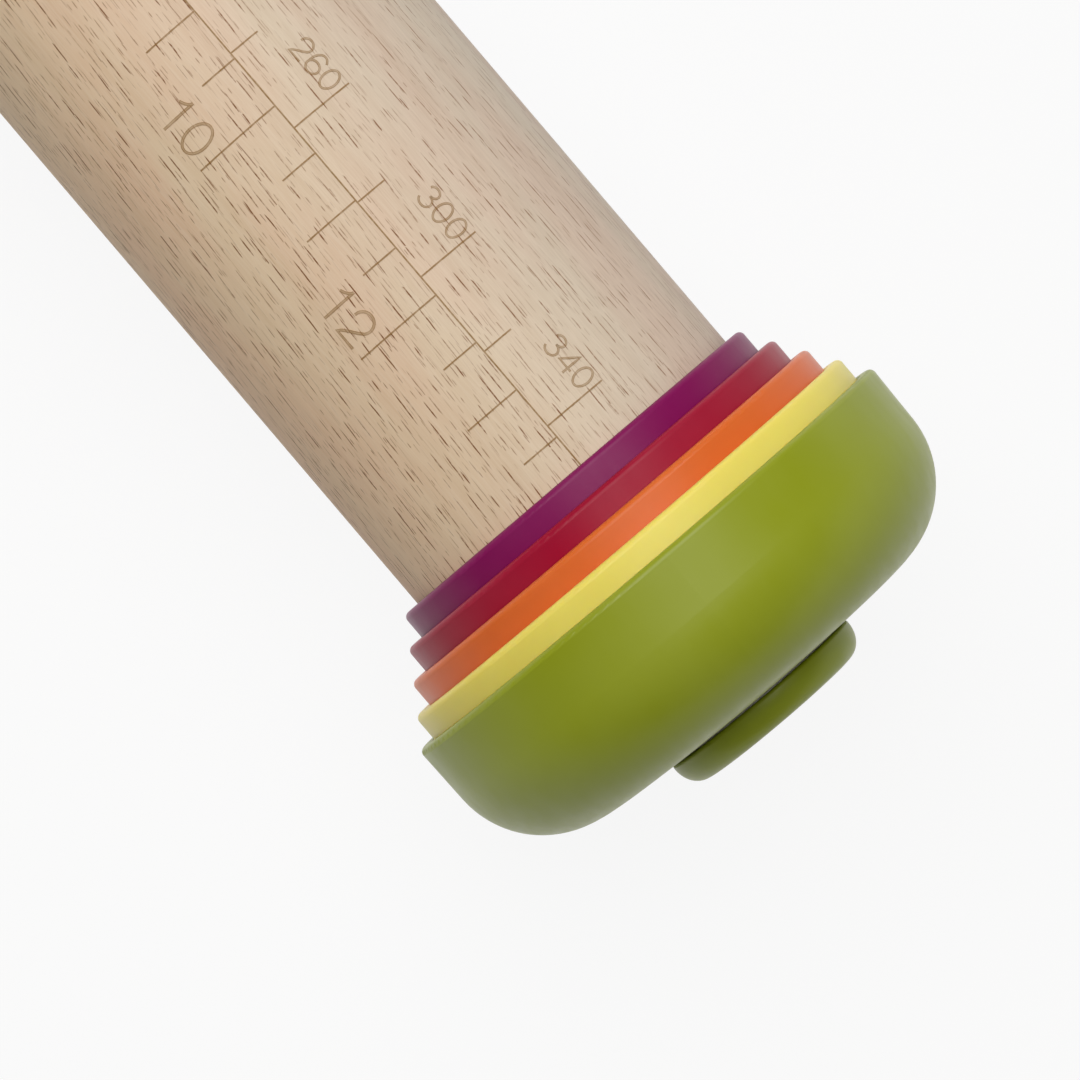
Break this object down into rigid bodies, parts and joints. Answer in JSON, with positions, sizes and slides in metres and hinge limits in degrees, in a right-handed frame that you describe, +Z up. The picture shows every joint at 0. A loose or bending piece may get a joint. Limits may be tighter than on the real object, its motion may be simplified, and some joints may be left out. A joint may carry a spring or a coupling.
{
  "type": "rolling pin",
  "caption": "Adjustable rolling pin: a beech roller with a burnt-in ruler and nested coloured cups, clamped on each end by a screw knob, that set the dough's thickness.",
  "frame": {"origin": "middle of the pin, on its axis", "axes": "+X along the pin towards the end called right, +Z up through the ruler burnt into the wood, so that it reads from above with +X to the right"},
  "size_m": [0.4186, 0.063, 0.063],
  "materials": {
    "beech": "sanded beech with short dark flecks along the pin",
    "purple_plastic": "satin moulded plastic",
    "red_plastic": "satin moulded plastic",
    "orange_plastic": "satin moulded plastic",
    "yellow_plastic": "satin moulded plastic",
    "green_plastic": "satin moulded plastic",
    "steel": "bright turned steel",
    "brass": "turned brass",
    "nylon": "natural nylon",
    "rubber": "black rubber"
  },
  "bodies": {
    "barrel": {"barrel": "beech", "right_insert": "brass", "right_seal_washer": "rubber", "left_insert": "brass", "left_seal_washer": "rubber"},
    "right_cup_2mm": {"right_cup_2mm": "purple_plastic"},
    "right_cup_4mm": {"right_cup_4mm": "red_plastic"},
    "right_cup_6mm": {"right_cup_6mm": "orange_plastic"},
    "right_cup_8mm": {"right_cup_8mm": "yellow_plastic"},
    "right_cup_10mm": {"right_cup_10mm": "green_plastic"},
    "right_friction_washer": {"right_friction_washer": "nylon"},
    "right_knob": {"right_knob": "green_plastic", "right_stud": "steel"},
    "left_cup_2mm": {"left_cup_2mm": "purple_plastic"},
    "left_cup_4mm": {"left_cup_4mm": "red_plastic"},
    "left_cup_6mm": {"left_cup_6mm": "orange_plastic"},
    "left_cup_8mm": {"left_cup_8mm": "yellow_plastic"},
    "left_cup_10mm": {"left_cup_10mm": "green_plastic"},
    "left_friction_washer": {"left_friction_washer": "nylon"},
    "left_knob": {"left_knob": "green_plastic", "left_stud": "steel"}
  },
  "joints": [
    {"name": "right_cup_2mm_slide", "type": "slide", "parent": "barrel", "child": "right_cup_2mm", "axis": [1, 0, 0], "range_m": [0, 0.025]},
    {"name": "right_cup_4mm_slide", "type": "slide", "parent": "right_cup_2mm", "child": "right_cup_4mm", "axis": [1, 0, 0], "range_m": [0, 0.025]},
    {"name": "right_cup_6mm_slide", "type": "slide", "parent": "right_cup_4mm", "child": "right_cup_6mm", "axis": [1, 0, 0], "range_m": [0, 0.025]},
    {"name": "right_cup_8mm_slide", "type": "slide", "parent": "right_cup_6mm", "child": "right_cup_8mm", "axis": [1, 0, 0], "range_m": [0, 0.025]},
    {"name": "right_cup_10mm_slide", "type": "slide", "parent": "right_cup_8mm", "child": "right_cup_10mm", "axis": [1, 0, 0], "range_m": [0, 0.025]},
    {"name": "right_knob_travel", "type": "slide", "parent": "right_cup_10mm", "child": "right_friction_washer", "axis": [1, 0, 0], "range_m": [0, 0.0165]},
    {"name": "right_knob_turn", "type": "hinge", "parent": "right_friction_washer", "child": "right_knob", "pos_m": [0.2, 0, 0], "axis": [1, 0, 0], "range_deg": [0, 1980]},
    {"name": "left_cup_2mm_slide", "type": "slide", "parent": "barrel", "child": "left_cup_2mm", "axis": [-1, 0, 0], "range_m": [0, 0.025]},
    {"name": "left_cup_4mm_slide", "type": "slide", "parent": "left_cup_2mm", "child": "left_cup_4mm", "axis": [-1, 0, 0], "range_m": [0, 0.025]},
    {"name": "left_cup_6mm_slide", "type": "slide", "parent": "left_cup_4mm", "child": "left_cup_6mm", "axis": [-1, 0, 0], "range_m": [0, 0.025]},
    {"name": "left_cup_8mm_slide", "type": "slide", "parent": "left_cup_6mm", "child": "left_cup_8mm", "axis": [-1, 0, 0], "range_m": [0, 0.025]},
    {"name": "left_cup_10mm_slide", "type": "slide", "parent": "left_cup_8mm", "child": "left_cup_10mm", "axis": [-1, 0, 0], "range_m": [0, 0.025]},
    {"name": "left_knob_travel", "type": "slide", "parent": "left_cup_10mm", "child": "left_friction_washer", "axis": [-1, 0, 0], "range_m": [0, 0.0165]},
    {"name": "left_knob_turn", "type": "hinge", "parent": "left_friction_washer", "child": "left_knob", "pos_m": [-0.2, 0, 0], "axis": [-1, 0, 0], "range_deg": [0, 1980]}
  ],
  "couplings": [
    {"joint": "right_knob_travel", "follows": "right_knob_turn", "m_per_rad": 0.00047746},
    {"joint": "left_knob_travel", "follows": "left_knob_turn", "m_per_rad": 0.00047746}
  ]
}
